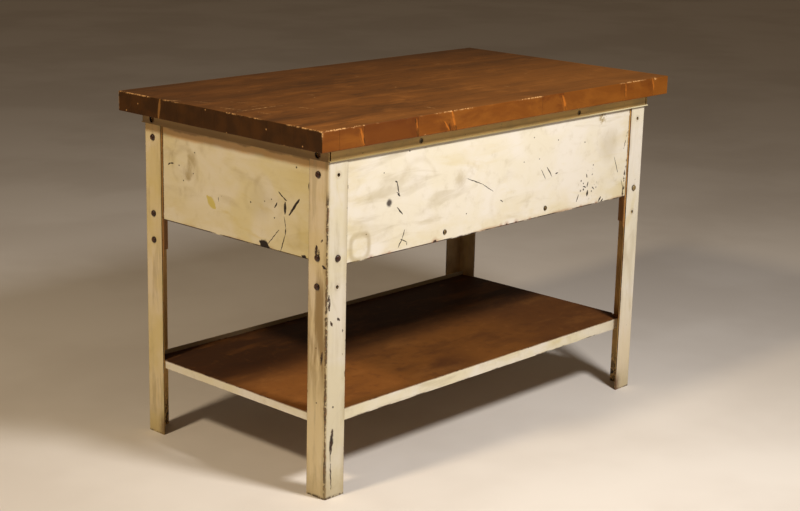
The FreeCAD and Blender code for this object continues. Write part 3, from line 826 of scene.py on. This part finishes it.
def left_apron_marks(f, seed, bleed, ragged, uneven):
    """What the left apron alone has, from the wide stains to the small knocks."""
    pan_arcs(f, LEFT_ARCS, lambda across, up: (APRON_FACE_X, across, up), uneven)
    yellow = f.scratches(on_face("x", APRON_FACE_X, YELLOW_MARK), 6 * MM)
    f.cover(f.times(yellow, 0.85), STAIN_YELLOW)
    smoke = f.plus(f.distance(SMOKE), f.times(uneven, 110 * MM))
    sooty = f.noise((24, 24, 17), seed + 12, 4, 0.5, 0.4)
    smoked = f.times(f.near(smoke, 150, 85), f.partly(sooty, 0.46, 0.64, 0.8))
    greyed = f.times(f.near(smoke, 130, 70), f.partly(bleed, 0.44, 0.58, 0.22))
    f.cover(smoked, OLIVE)
    f.cover(greyed, CREAM_GREY)
    f.cover(f.times(f.spot(SHADE, f.times(uneven, 60 * MM), 90, 40), 0.3), CREAM_GREY)
    # painted shade: yellower and darker towards the near end
    f.tint(f.y, -120 * MM, -255 * MM, 0.22, CREAM_YELLOW)
    # painted shade: a brown band under the ring and the block's overhang, and a darker line right
    # under the ring
    ring_shadow_height = f.plus(f.z, f.times(uneven, 22 * MM))
    f.tint(ring_shadow_height, 771 * MM, 782 * MM, 0.75, RING_SHADOW_BROWN)
    f.tint(ring_shadow_height, 789 * MM, 795 * MM, 0.6, RUST_SOFT)
    knock_marks(f, on_face("x", APRON_FACE_X, LEFT_SCRATCHES + dots(LEFT_DOTS)), ragged)
    low_chips = f.scratches(on_face("x", APRON_FACE_X, LOW_CHIPS), 10 * MM)
    f.cover(low_chips, RUST_BLACK, 0.8, -0.3 * MM)


def apron_paint(side):
    """Cream paint with water stains, knocks down to rust, and a rusty folded edge."""
    long_side = side in ("front", "rear")
    seed = APRON_SEEDS[side]
    f = cream_coat(side + "_apron_paint", 0.9 if side == "left" else 0.36, 0.5, seed)
    if side == "left":
        f.cover(0.3, CREAM_YELLOW)
    low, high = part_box(side + "_apron")
    ragged = f.noise(110, seed + 2, 5, 0.65)
    uneven = f.noise(13, seed + 6, 4)
    rust = chips(f, 0.025, 0.075, seed)
    along = f.x if long_side else f.y
    near_end, far_end = (low.x, high.x) if long_side else (low.y, high.y)
    from_far = f.minus(far_end, along)
    from_end = f.least(from_far, f.minus(along, near_end))
    from_foot = f.minus(f.z, low.z)

    # paint yellowed towards the foot and the ends
    bleed = f.noise((9, 9, 22), seed + 4, 5)
    by_foot, by_end = f.near(from_foot, 90, 0), f.near(from_end, 110, 0)
    f.cover(f.times(by_foot, f.partly(bleed, 0.4, 0.62, 0.3)), CREAM_YELLOW)
    f.cover(f.times(by_end, f.partly(bleed, 0.38, 0.64, 0.35)), CREAM_YELLOW)

    # orange bleeding and a thin broken dark line along the folded foot, a rusty far end, and a
    # brown strip of painted shade where the ring's lip shades the apron's top
    orange = f.times(f.near(from_foot, 9, 0), f.partly(bleed, 0.48, 0.62, 0.55))
    foot_line = f.times(f.near(from_foot, 3.0, 1.4), f.band(uneven, 0.36, 0.5))
    end_line = f.times(f.near(from_far, 2.4, 0.6), f.band(ragged, 0.36, 0.5))
    f.cover(orange, RUST_ORANGE, 0.6)
    f.cover(foot_line, rust, *FLAKED)
    f.cover(end_line, rust, 0.8, -0.15 * MM)
    # painted shade: a brown strip under the ring's lip
    f.tint(f.z, high.z - 9 * MM, high.z - 5 * MM, 0.85, LIP_SHADOW_BROWN)

    if side == "front":
        front_apron_marks(f, low.z, rust, ragged, uneven)
    if side == "left":
        left_apron_marks(f, seed, bleed, ragged, uneven)
    if side == "rear":
        rows = on_face("y", -APRON_FACE_Y, FAR_SCRATCHES)
        f.cover(f.scratches(rows), rust, *KNOCKED)
    if side == "right":
        closer = [(a * 0.5, b, c * 0.5, d, w) for a, b, c, d, w in FAR_SCRATCHES]
        f.cover(f.scratches(on_face("x", -APRON_FACE_X, closer)), rust, *KNOCKED)

    # the inside of the pan is bare
    depth = f.unsigned(f.y if long_side else f.x)
    face = -APRON_FACE_Y if long_side else -APRON_FACE_X
    inside = f.band(depth, face - 1.0 * MM, face - 1.3 * MM)
    f.cover(inside, f.mix(bleed, STEEL_BROWN, RUST_BROWN), 0.7)
    return f.done()


def rail_paint():
    """The ring under the block: brown-green old paint, smooth, with a lip at its foot that is paler
    towards the right, a painted highlight.
    """
    f = Finish("ring_paint", RING_TAN, 0.5)
    clouds = f.noise((7, 7, 16), RING_SEED, 5, 0.6)
    ragged = f.noise(120, RING_SEED + 6, 5, 0.65)
    rust = rust_colour(f, RING_SEED + 10.0)
    from_foot = f.minus(f.z, RAIL_LOW.z)
    facing_x, facing_y = f.unsigned(f.facing[0]), f.unsigned(f.facing[1])
    f.tint(clouds, 0.4, 0.62, 0.45, OLIVE)
    f.tint(clouds, 0.58, 0.72, 0.3, CREAM_GREY)
    # painted shade: the ring's ends, which face along X, are browner
    f.tint(facing_x, 0.5, 0.8, 0.6, STEEL_BROWN)
    # painted shade: darker towards the block above and towards the foot, where the block's shadow
    # falls
    f.tint(from_foot, 14 * MM, RAIL_HIGH.z - RAIL_LOW.z, 0.3, STEEL_BROWN, 0.6)
    f.tint(from_foot, 15 * MM, 6 * MM, 0.36, STEEL_BROWN)
    f.tint(ragged, 0.64, 0.7, 0.6, rust, *FLAKED)
    # painted highlight: the lip is paler towards the right end, olive to the left
    outward = f.band(f.unsigned(f.y), -RAIL_LOW.y - 3.2 * MM, -RAIL_LOW.y - 2.8 * MM)
    lip = f.times(outward, f.near(from_foot, 2.9, 2.6))
    f.cover(lip, f.mix(f.band(f.x, 0.2, 0.5), OLIVE, CREAM_WARM), 0.5)
    f.cover(f.band(f.facing[2], -0.5, -0.9), RUST_DARK, 0.8)

    # dark walls in the ring's holes, which are painted shade, and a stain round each one
    up = f.minus(f.z, RAIL_HOLE_Z)
    for across, facing, hole in ((f.x, facing_y, LONG_HOLE), (f.y, facing_x, SHORT_HOLE)):
        middle, radius = hole
        away = f.hypotenuse(f.minus(f.unsigned(across), middle), up)
        wall = f.band(away, radius + 1.2 * MM, radius + 0.4 * MM)
        stain = f.times(f.band(away, radius + 4 * MM, radius), f.band(facing, 0.5, 0.9))
        f.cover(f.times(wall, f.band(facing, 0.9, 0.5)), RUST_BLACK, 0.9)
        f.cover(f.times(stain, 0.6), RUST_DARK, 0.8)
    f.texture(clouds, 0.6 * MM)
    f.texture(ragged, 0.1 * MM)
    return f.done()


# wear of the shelf's top, and painted shade that darkens its back, in order: pattern, where it starts
# and is full, strength and colour
SHELF_LAYERS = (
    ("along", 0.15, 0.4, 0.65, SHELF_DARK),
    ("from_worn_spot", 0.2, 0.05, 1.0, SHELF_BROWN),
    # painted shade: darker towards the back, under the block
    ("painted_shade_rearward", -0.1, 0.12, 0.88, RUST_DARK),
    ("strokes", 0.5, 0.72, 0.45, SHELF_PALE),
    ("strokes", 0.44, 0.3, 0.45, SHELF_DARK),
    ("spots", 0.52, 0.7, 0.48, SHELF_DARK),
    ("spots", 0.46, 0.3, 0.25, SHELF_PALE),
)
WORN_SPOT = (90 * MM, -260 * MM, SHELF_FACE)


def shelf_finish():
    """Paint worn off the shelf's top down to brown steel, left on its lips."""
    seed = SHELF_SEED
    f = cream_coat("shelf_finish", 0.7, 0.5, seed)
    ragged = f.noise(90, seed + 6, 5, 0.65)
    uneven = f.noise(14, seed + 8, 4)
    rust = chips(f, 0.04, 0.08, seed + 10.0)
    spots = f.noise(34, seed + 30, 6, 0.7)
    below = f.minus(SHELF_FACE, f.z)
    from_top = f.unsigned(below)

    # the lips: a brown line by the fold, rust along both edges, the rear turn-up dirty
    f.tint(f.plus(from_top, f.times(uneven, 4 * MM)), 5.5 * MM, 2.5 * MM, 0.85, STEEL_BROWN, 0.7)
    upper_edge = f.times(f.near(from_top, 2.0, 0.8), f.band(ragged, 0.54, 0.62))
    lower_edge = f.band(f.z, SHELF_LOW.z + 3 * MM, SHELF_LOW.z + 0.5 * MM)
    f.cover(upper_edge, rust, 0.7)
    f.tint(below, -1 * MM, -3 * MM, 0.55, OLIVE)
    f.cover(f.times(lower_edge, f.band(uneven, 0.46, 0.6)), rust, 0.7)

    # the top
    clouds = f.noise((2.2, 4, 4), seed + 16, 4, 0.55, 0.6)
    patterns = {
        "along": f.x,
        "painted_shade_rearward": f.y,
        "from_worn_spot": f.distance(WORN_SPOT),
        "strokes": f.noise((4, 12, 12), seed + 22, 5, 0.6),
        "spots": spots,
    }
    worn = f.mix(f.band(clouds, 0.28, 0.5), SHELF_DARK, SHELF_BROWN)
    for pattern, start, full, share, colour in SHELF_LAYERS:
        worn = f.tinted(worn, patterns[pattern], start, full, share, colour)
    top = f.times(f.band(f.facing[2], 0.4, 0.7), f.near(from_top, 3, 1.5))
    f.cover(top, worn, 0.6)
    f.texture(f.times(top, spots), 0.3 * MM)
    bottom = f.times(f.band(f.facing[2], -0.4, -0.7), f.band(ragged, 0.35, 0.6))
    f.cover(bottom, STEEL_BROWN, 0.7)
    return f.done(Specular_IOR_Level=0.3)


def bare_steel():
    """Posts and gussets: brown mill steel with rust blooms, and painted shade, black, round the bolt
    holes.
    """
    f = Finish("inner_steel", POST_BROWN, 0.62)
    clouds = f.noise((9, 9, 6), POST_SEED, 6, 0.65)
    ragged = f.noise(100, POST_SEED + 6, 5, 0.65)
    f.tint(clouds, 0.45, 0.66, 0.7, STEEL_OCHRE, 0.7)
    f.tint(clouds, 0.4, 0.28, 0.6, RUST_BROWN, 0.8)
    f.tint(ragged, 0.58, 0.7, 0.6, RUST_BROWN, 0.85)
    f.texture(ragged, 0.2 * MM)
    # painted shade: black round the bolt holes, which are seen through the legs' holes
    for away in bolt_distances(f):
        f.cover(f.near(away, 12, 8), RUST_BLACK, 0.9)
    return f.done(Metallic=0.1)


def rusty_bolt():
    """Domed heads, brown with a painted highlight on top, still part painted on the right legs."""
    f = Finish("rusty_bolt", BOLT_BROWN, 0.36)
    fine = f.noise(260, BOLT_SEED, 5, 0.65)
    f.tint(fine, 0.5, 0.34, 0.6, RUST_BLACK, 0.6)
    out = f.most(f.minus(f.unsigned(f.x), LEG_X), f.minus(f.unsigned(f.y), LEG_Y))
    f.tint(f.x, 0.2, 0.3, 0.65, OLIVE)
    f.cover(f.near(out, 3.0, 1.6), RUST_BLACK, 0.7)
    # painted highlight: a paler patch on the top of the dome
    crown_highlight = f.times(f.band(out, 4.4 * MM, 4.7 * MM), f.band(fine, 0.5, 0.66))
    f.cover(crown_highlight, RUST_SOFT, 0.35)
    f.texture(fine, 0.1 * MM)
    return f.done(Metallic=0.0)


def plain_hardware():
    """Nuts, washers and lag screws: dull zinc with rust starting."""
    f = Finish("plain_hardware", ZINC, 0.45)
    fine = f.noise(170, HARDWARE_SEED, 5, 0.65)
    f.cover(f.band(fine, 0.48, 0.62), RUST_BROWN, 0.8)
    f.tint(fine, 0.4, 0.25, 0.7, RUST_DARK, 0.7)
    f.texture(fine, 0.15 * MM)
    return f.done(Metallic=0.7)


def screw_steel():
    """Small domed screws: a dark rim and a worn bright middle."""
    f = Finish("screw_steel", SCREW_TAN, 0.4)
    fine = f.noise(230, SCREW_SEED, 5, 0.65)
    f.cover(f.band(fine, 0.5, 0.64), RUST_DARK, 0.75)
    out = f.minus(f.unsigned(f.y), -APRON_FACE_Y)
    dome = APRON_FACE_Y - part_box("apron_screws")[0].y
    f.cover(f.band(out, dome * 0.85, dome * 0.55), RUST_BLACK, 0.7)
    f.texture(fine, 0.2 * MM)
    return f.done(Metallic=0.6)


def floor_finish():
    """A plain pale floor with faint wide clouds."""
    f = Finish("pale_floor", FLOOR_COLOUR, 0.6)
    f.cover(f.band(f.noise(1.1, FLOOR_SEED), 0.4, 0.62), FLOOR_SMUDGE)
    return f.done()


# ---- the worn block ----
# how far from a worn edge the mesh is cut, in millimetres
EDGE_CUTS = (0.0, 0.8, 1.8, 3.0, 4.4, 6.2, 8.6, 12.0)
# the size of the mesh's faces: along an outer strip, along an inner one, across and up
STEP_OUTER = 4 * MM
STEP_INNER = 40 * MM
STEP_ACROSS = 5 * MM
STEP_UP = 8 * MM
SEAM_ROUND = 0.5 * MM
EDGE_ROUND = 1.8 * MM
EDGE_ROUND_VARIES = 0.5
EDGE_ROUND_SCALE = 9.0
CHIP_DEPTH = 4.5 * MM
CHIP_SEEN = 0.3 * MM
# broken edges: how fine the two noises are, the second one's share, where a break starts, how
# quickly it deepens, and how much more is broken out along the front's upper left edge
BITE_SCALE = 42.0
BITE_SCALE_FINE = 95.0
BITE_FINE_SHARE = 0.5
BITE_START = 0.58
BITE_SLOPE = 2.2
HEAVY_BITE = 0.45
HEAVY_WIDTH = 20 * MM
HEAVY_END_X = -250 * MM
# short lengths of the front strip: the least that one measures, and how near an end face's
# direction is to X
SHORTEST_LENGTH = 10 * MM
END_FACING = 0.9999
# how dark each short length of the front strip is, from 0 to 1, starting at its left end
BOARD_DARKNESS = (0.5, 0.45, 0.8, 0.4, 0.35, 0.5, 0.3, 0.4, 0.25)


def cuts(low, high, worn_low, worn_high, step):
    """Places along one axis where the mesh is cut: close together by a worn edge, then evenly."""
    near = [c * MM for c in EDGE_CUTS] if worn_low else [0.0, SEAM_ROUND]
    far = [c * MM for c in EDGE_CUTS] if worn_high else [0.0, SEAM_ROUND]
    first, last = low + near[-1], high - far[-1]
    count = max(1, round((last - first) / step))
    middle = [first + (last - first) * i / count for i in range(1, count)]
    return [low + c for c in near] + middle + [high - c for c in reversed(far)]


def box_shell(xs, ys, zs):
    """The points and four-sided faces of a closed box cut at the given places."""
    index, points, faces = {}, [], []

    def corner(i, j, k):
        if (i, j, k) not in index:
            index[i, j, k] = len(points)
            points.append(Vector((xs[i], ys[j], zs[k])))
        return index[i, j, k]

    def sheet(count_a, count_b, at, flip):
        for a in range(count_a):
            for b in range(count_b):
                face = [at(a, b), at(a + 1, b), at(a + 1, b + 1), at(a, b + 1)]
                faces.append(face[::-1] if flip else face)

    nx, ny, nz = len(xs) - 1, len(ys) - 1, len(zs) - 1
    for end in (0, 1):
        sheet(nx, ny, lambda a, b: corner(a, b, nz * end), end == 0)
        sheet(nx, nz, lambda a, b: corner(a, ny * end, b), end == 1)
        sheet(ny, nz, lambda a, b: corner(nx * end, a, b), end == 0)
    return points, faces


def rounded(point, low, high, radius):
    """The point moved onto the box whose edges are rounded to that radius."""
    centre, half = (low + high) / 2, (high - low) / 2
    local = point - centre
    inner = [h - radius for h in half]
    over = Vector([max(abs(v) - i, 0.0) for v, i in zip(local, inner)])
    if over.length <= radius:
        return point
    over *= radius / over.length
    moved = [math.copysign(min(abs(v), i) + o, v) for v, i, o in zip(local, inner, over)]
    return centre + Vector(moved)


def damage(point):
    """How far the block's edge is broken out here, from 0 to 1."""
    bite = noise.noise(point * BITE_SCALE) + BITE_FINE_SHARE * noise.noise(point * BITE_SCALE_FINE)
    by_front = point.y < BLOCK_LOW.y + HEAVY_WIDTH and point.z > BLOCK_HIGH.z - HEAVY_WIDTH
    heavy = HEAVY_BITE if by_front and point.x < HEAVY_END_X else 0.0
    return min(1.0, max(0.0, (bite - BITE_START + heavy) * BITE_SLOPE))


def placed(name, data):
    """A new object in the scene."""
    thing = bpy.data.objects.new(name, data)
    bpy.context.scene.collection.objects.link(thing)
    return thing


def worn_stave(name):
    """One strip of the block, its outer edges rubbed round and chipped. The front strip is the row
    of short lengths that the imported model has, and the others are one length."""
    low, high = (Vector(corner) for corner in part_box(name))
    outer_low, outer_high = name == FRONT_STAVE, name == REAR_STAVE
    ends = end_places(NODES[name]) if outer_low else [low.x, high.x]
    step = STEP_OUTER if outer_low or outer_high else STEP_INNER
    ys = cuts(low.y, high.y, outer_low, outer_high, STEP_ACROSS)
    zs = cuts(low.z, high.z, True, True, STEP_UP)
    points, faces, chip, board = [], [], [], []
    for number, (start, stop) in enumerate(zip(ends, ends[1:])):
        xs = cuts(start, stop, start == ends[0], stop == ends[-1], step)
        part, part_faces = box_shell(xs, ys, zs)
        part_low, part_high = Vector((start, low.y, low.z)), Vector((stop, high.y, high.z))
        faces += [[corner + len(points) for corner in face] for face in part_faces]
        board += [BOARD_DARKNESS[number % len(BOARD_DARKNESS)]] * len(part)
        for point in part:
            hurt = damage(point)
            seamed = rounded(point, part_low, part_high, SEAM_ROUND)
            varied = 1.0 + EDGE_ROUND_VARIES * noise.noise(point * EDGE_ROUND_SCALE)
            worn = rounded(seamed, BLOCK_LOW, BLOCK_HIGH, EDGE_ROUND * varied + CHIP_DEPTH * hurt)
            points.append(worn)
            chip.append(hurt if (worn - seamed).length > CHIP_SEEN else 0.0)
    mesh = bpy.data.meshes.new("worn_" + name)
    mesh.from_pydata(points, [], faces)
    for label, values in (("chip", chip), ("board", board)):
        layer = mesh.attributes.new(label, "FLOAT", "POINT")
        layer.data.foreach_set("value", values)
    mesh.shade_smooth()
    piece = placed("worn_" + name, mesh)
    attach(piece, "root")
    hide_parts(name)
    return piece


def end_places(node):
    """Where a strip's short lengths begin and end: the places of its faces that look along X."""
    faces = (p for p in node.data.polygons if abs(p.normal.x) > END_FACING)
    found = sorted({round(p.center.x, 4) for p in faces})
    places = [found[0]]
    for place in found[1:]:
        if place - places[-1] > SHORTEST_LENGTH:
            places.append(place)
    return places


def wear(material, names):
    """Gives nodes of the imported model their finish."""
    for name in names:
        data = NODES[name].data
        data.materials.clear()
        data.materials.append(material)


def dress():
    """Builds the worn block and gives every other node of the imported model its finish."""
    wood = maple()
    for name in STAVES:
        worn_stave(name).data.materials.append(wood)
    for leg in LEGS:
        wear(leg_paint(leg), [leg])
    for side in APRON_SEEDS:
        wear(apron_paint(side), [side + "_apron"])
    wear(rail_paint(), [name for name in NODES if name.endswith("_rail")])
    wear(bare_steel(), [name for name in NODES if name.endswith(("_post", "_gusset"))])
    wear(shelf_finish(), ["shelf"])
    wear(rusty_bolt(), ["leg_bolts"])
    wear(screw_steel(), ["apron_screws"])
    wear(plain_hardware(), ["leg_washers", "leg_nuts", "apron_nuts", "lag_screws", "lag_washers"])


def make_floor():
    """A wide flat floor, which is not part of the object."""
    half = FLOOR_HALF
    corners = [(-half, -half, 0), (half, -half, 0), (half, half, 0), (-half, half, 0)]
    mesh = bpy.data.meshes.new("floor")
    mesh.from_pydata(corners, [], [(0, 1, 2, 3)])
    mesh.materials.append(floor_finish())
    placed("floor", mesh)


def make_light(name, settings, colour):
    """A soft round lamp aimed at its target."""
    light = bpy.data.lights.new(name, "AREA")
    light.shape = "DISK"
    light.size = settings["size"]
    light.energy = settings["power"]
    light.color = colour
    lamp = placed(name, light)
    lamp.location = settings["place"]
    aim = Vector(settings["target"]) - Vector(settings["place"])
    lamp.rotation_euler = aim.to_track_quat("-Z", "Y").to_euler()


def make_world():
    """A dim warm light from all round."""
    world = bpy.data.worlds.new("studio")
    world.use_nodes = True
    background = world.node_tree.nodes["Background"]
    background.inputs["Color"].default_value = (*WORLD_COLOUR, 1.0)
    background.inputs["Strength"].default_value = WORLD_STRENGTH
    bpy.context.scene.world = world


def make_camera():
    """The photograph's viewpoint. Yaw turns it about Z, pitch tips it down and roll tilts it."""
    data = bpy.data.cameras.new("camera")
    data.lens = CAMERA_LENS
    data.sensor_width = SENSOR_WIDTH
    camera = placed("camera", data)
    turn = Matrix.Rotation(-CAMERA_YAW, 4, "Z")
    tip = Matrix.Rotation(math.pi / 2 + CAMERA_PITCH, 4, "X")
    roll = Matrix.Rotation(CAMERA_ROLL, 4, "Z")
    camera.matrix_world = Matrix.Translation(CAMERA_PLACE) @ turn @ tip @ roll
    bpy.context.scene.camera = camera


bpy.context.scene.view_settings.view_transform = "Standard"
dress()
make_floor()
make_light("key_light", KEY, KEY_COLOUR)
make_light("fill_light", FILL, FILL_COLOUR)
make_world()
make_camera()
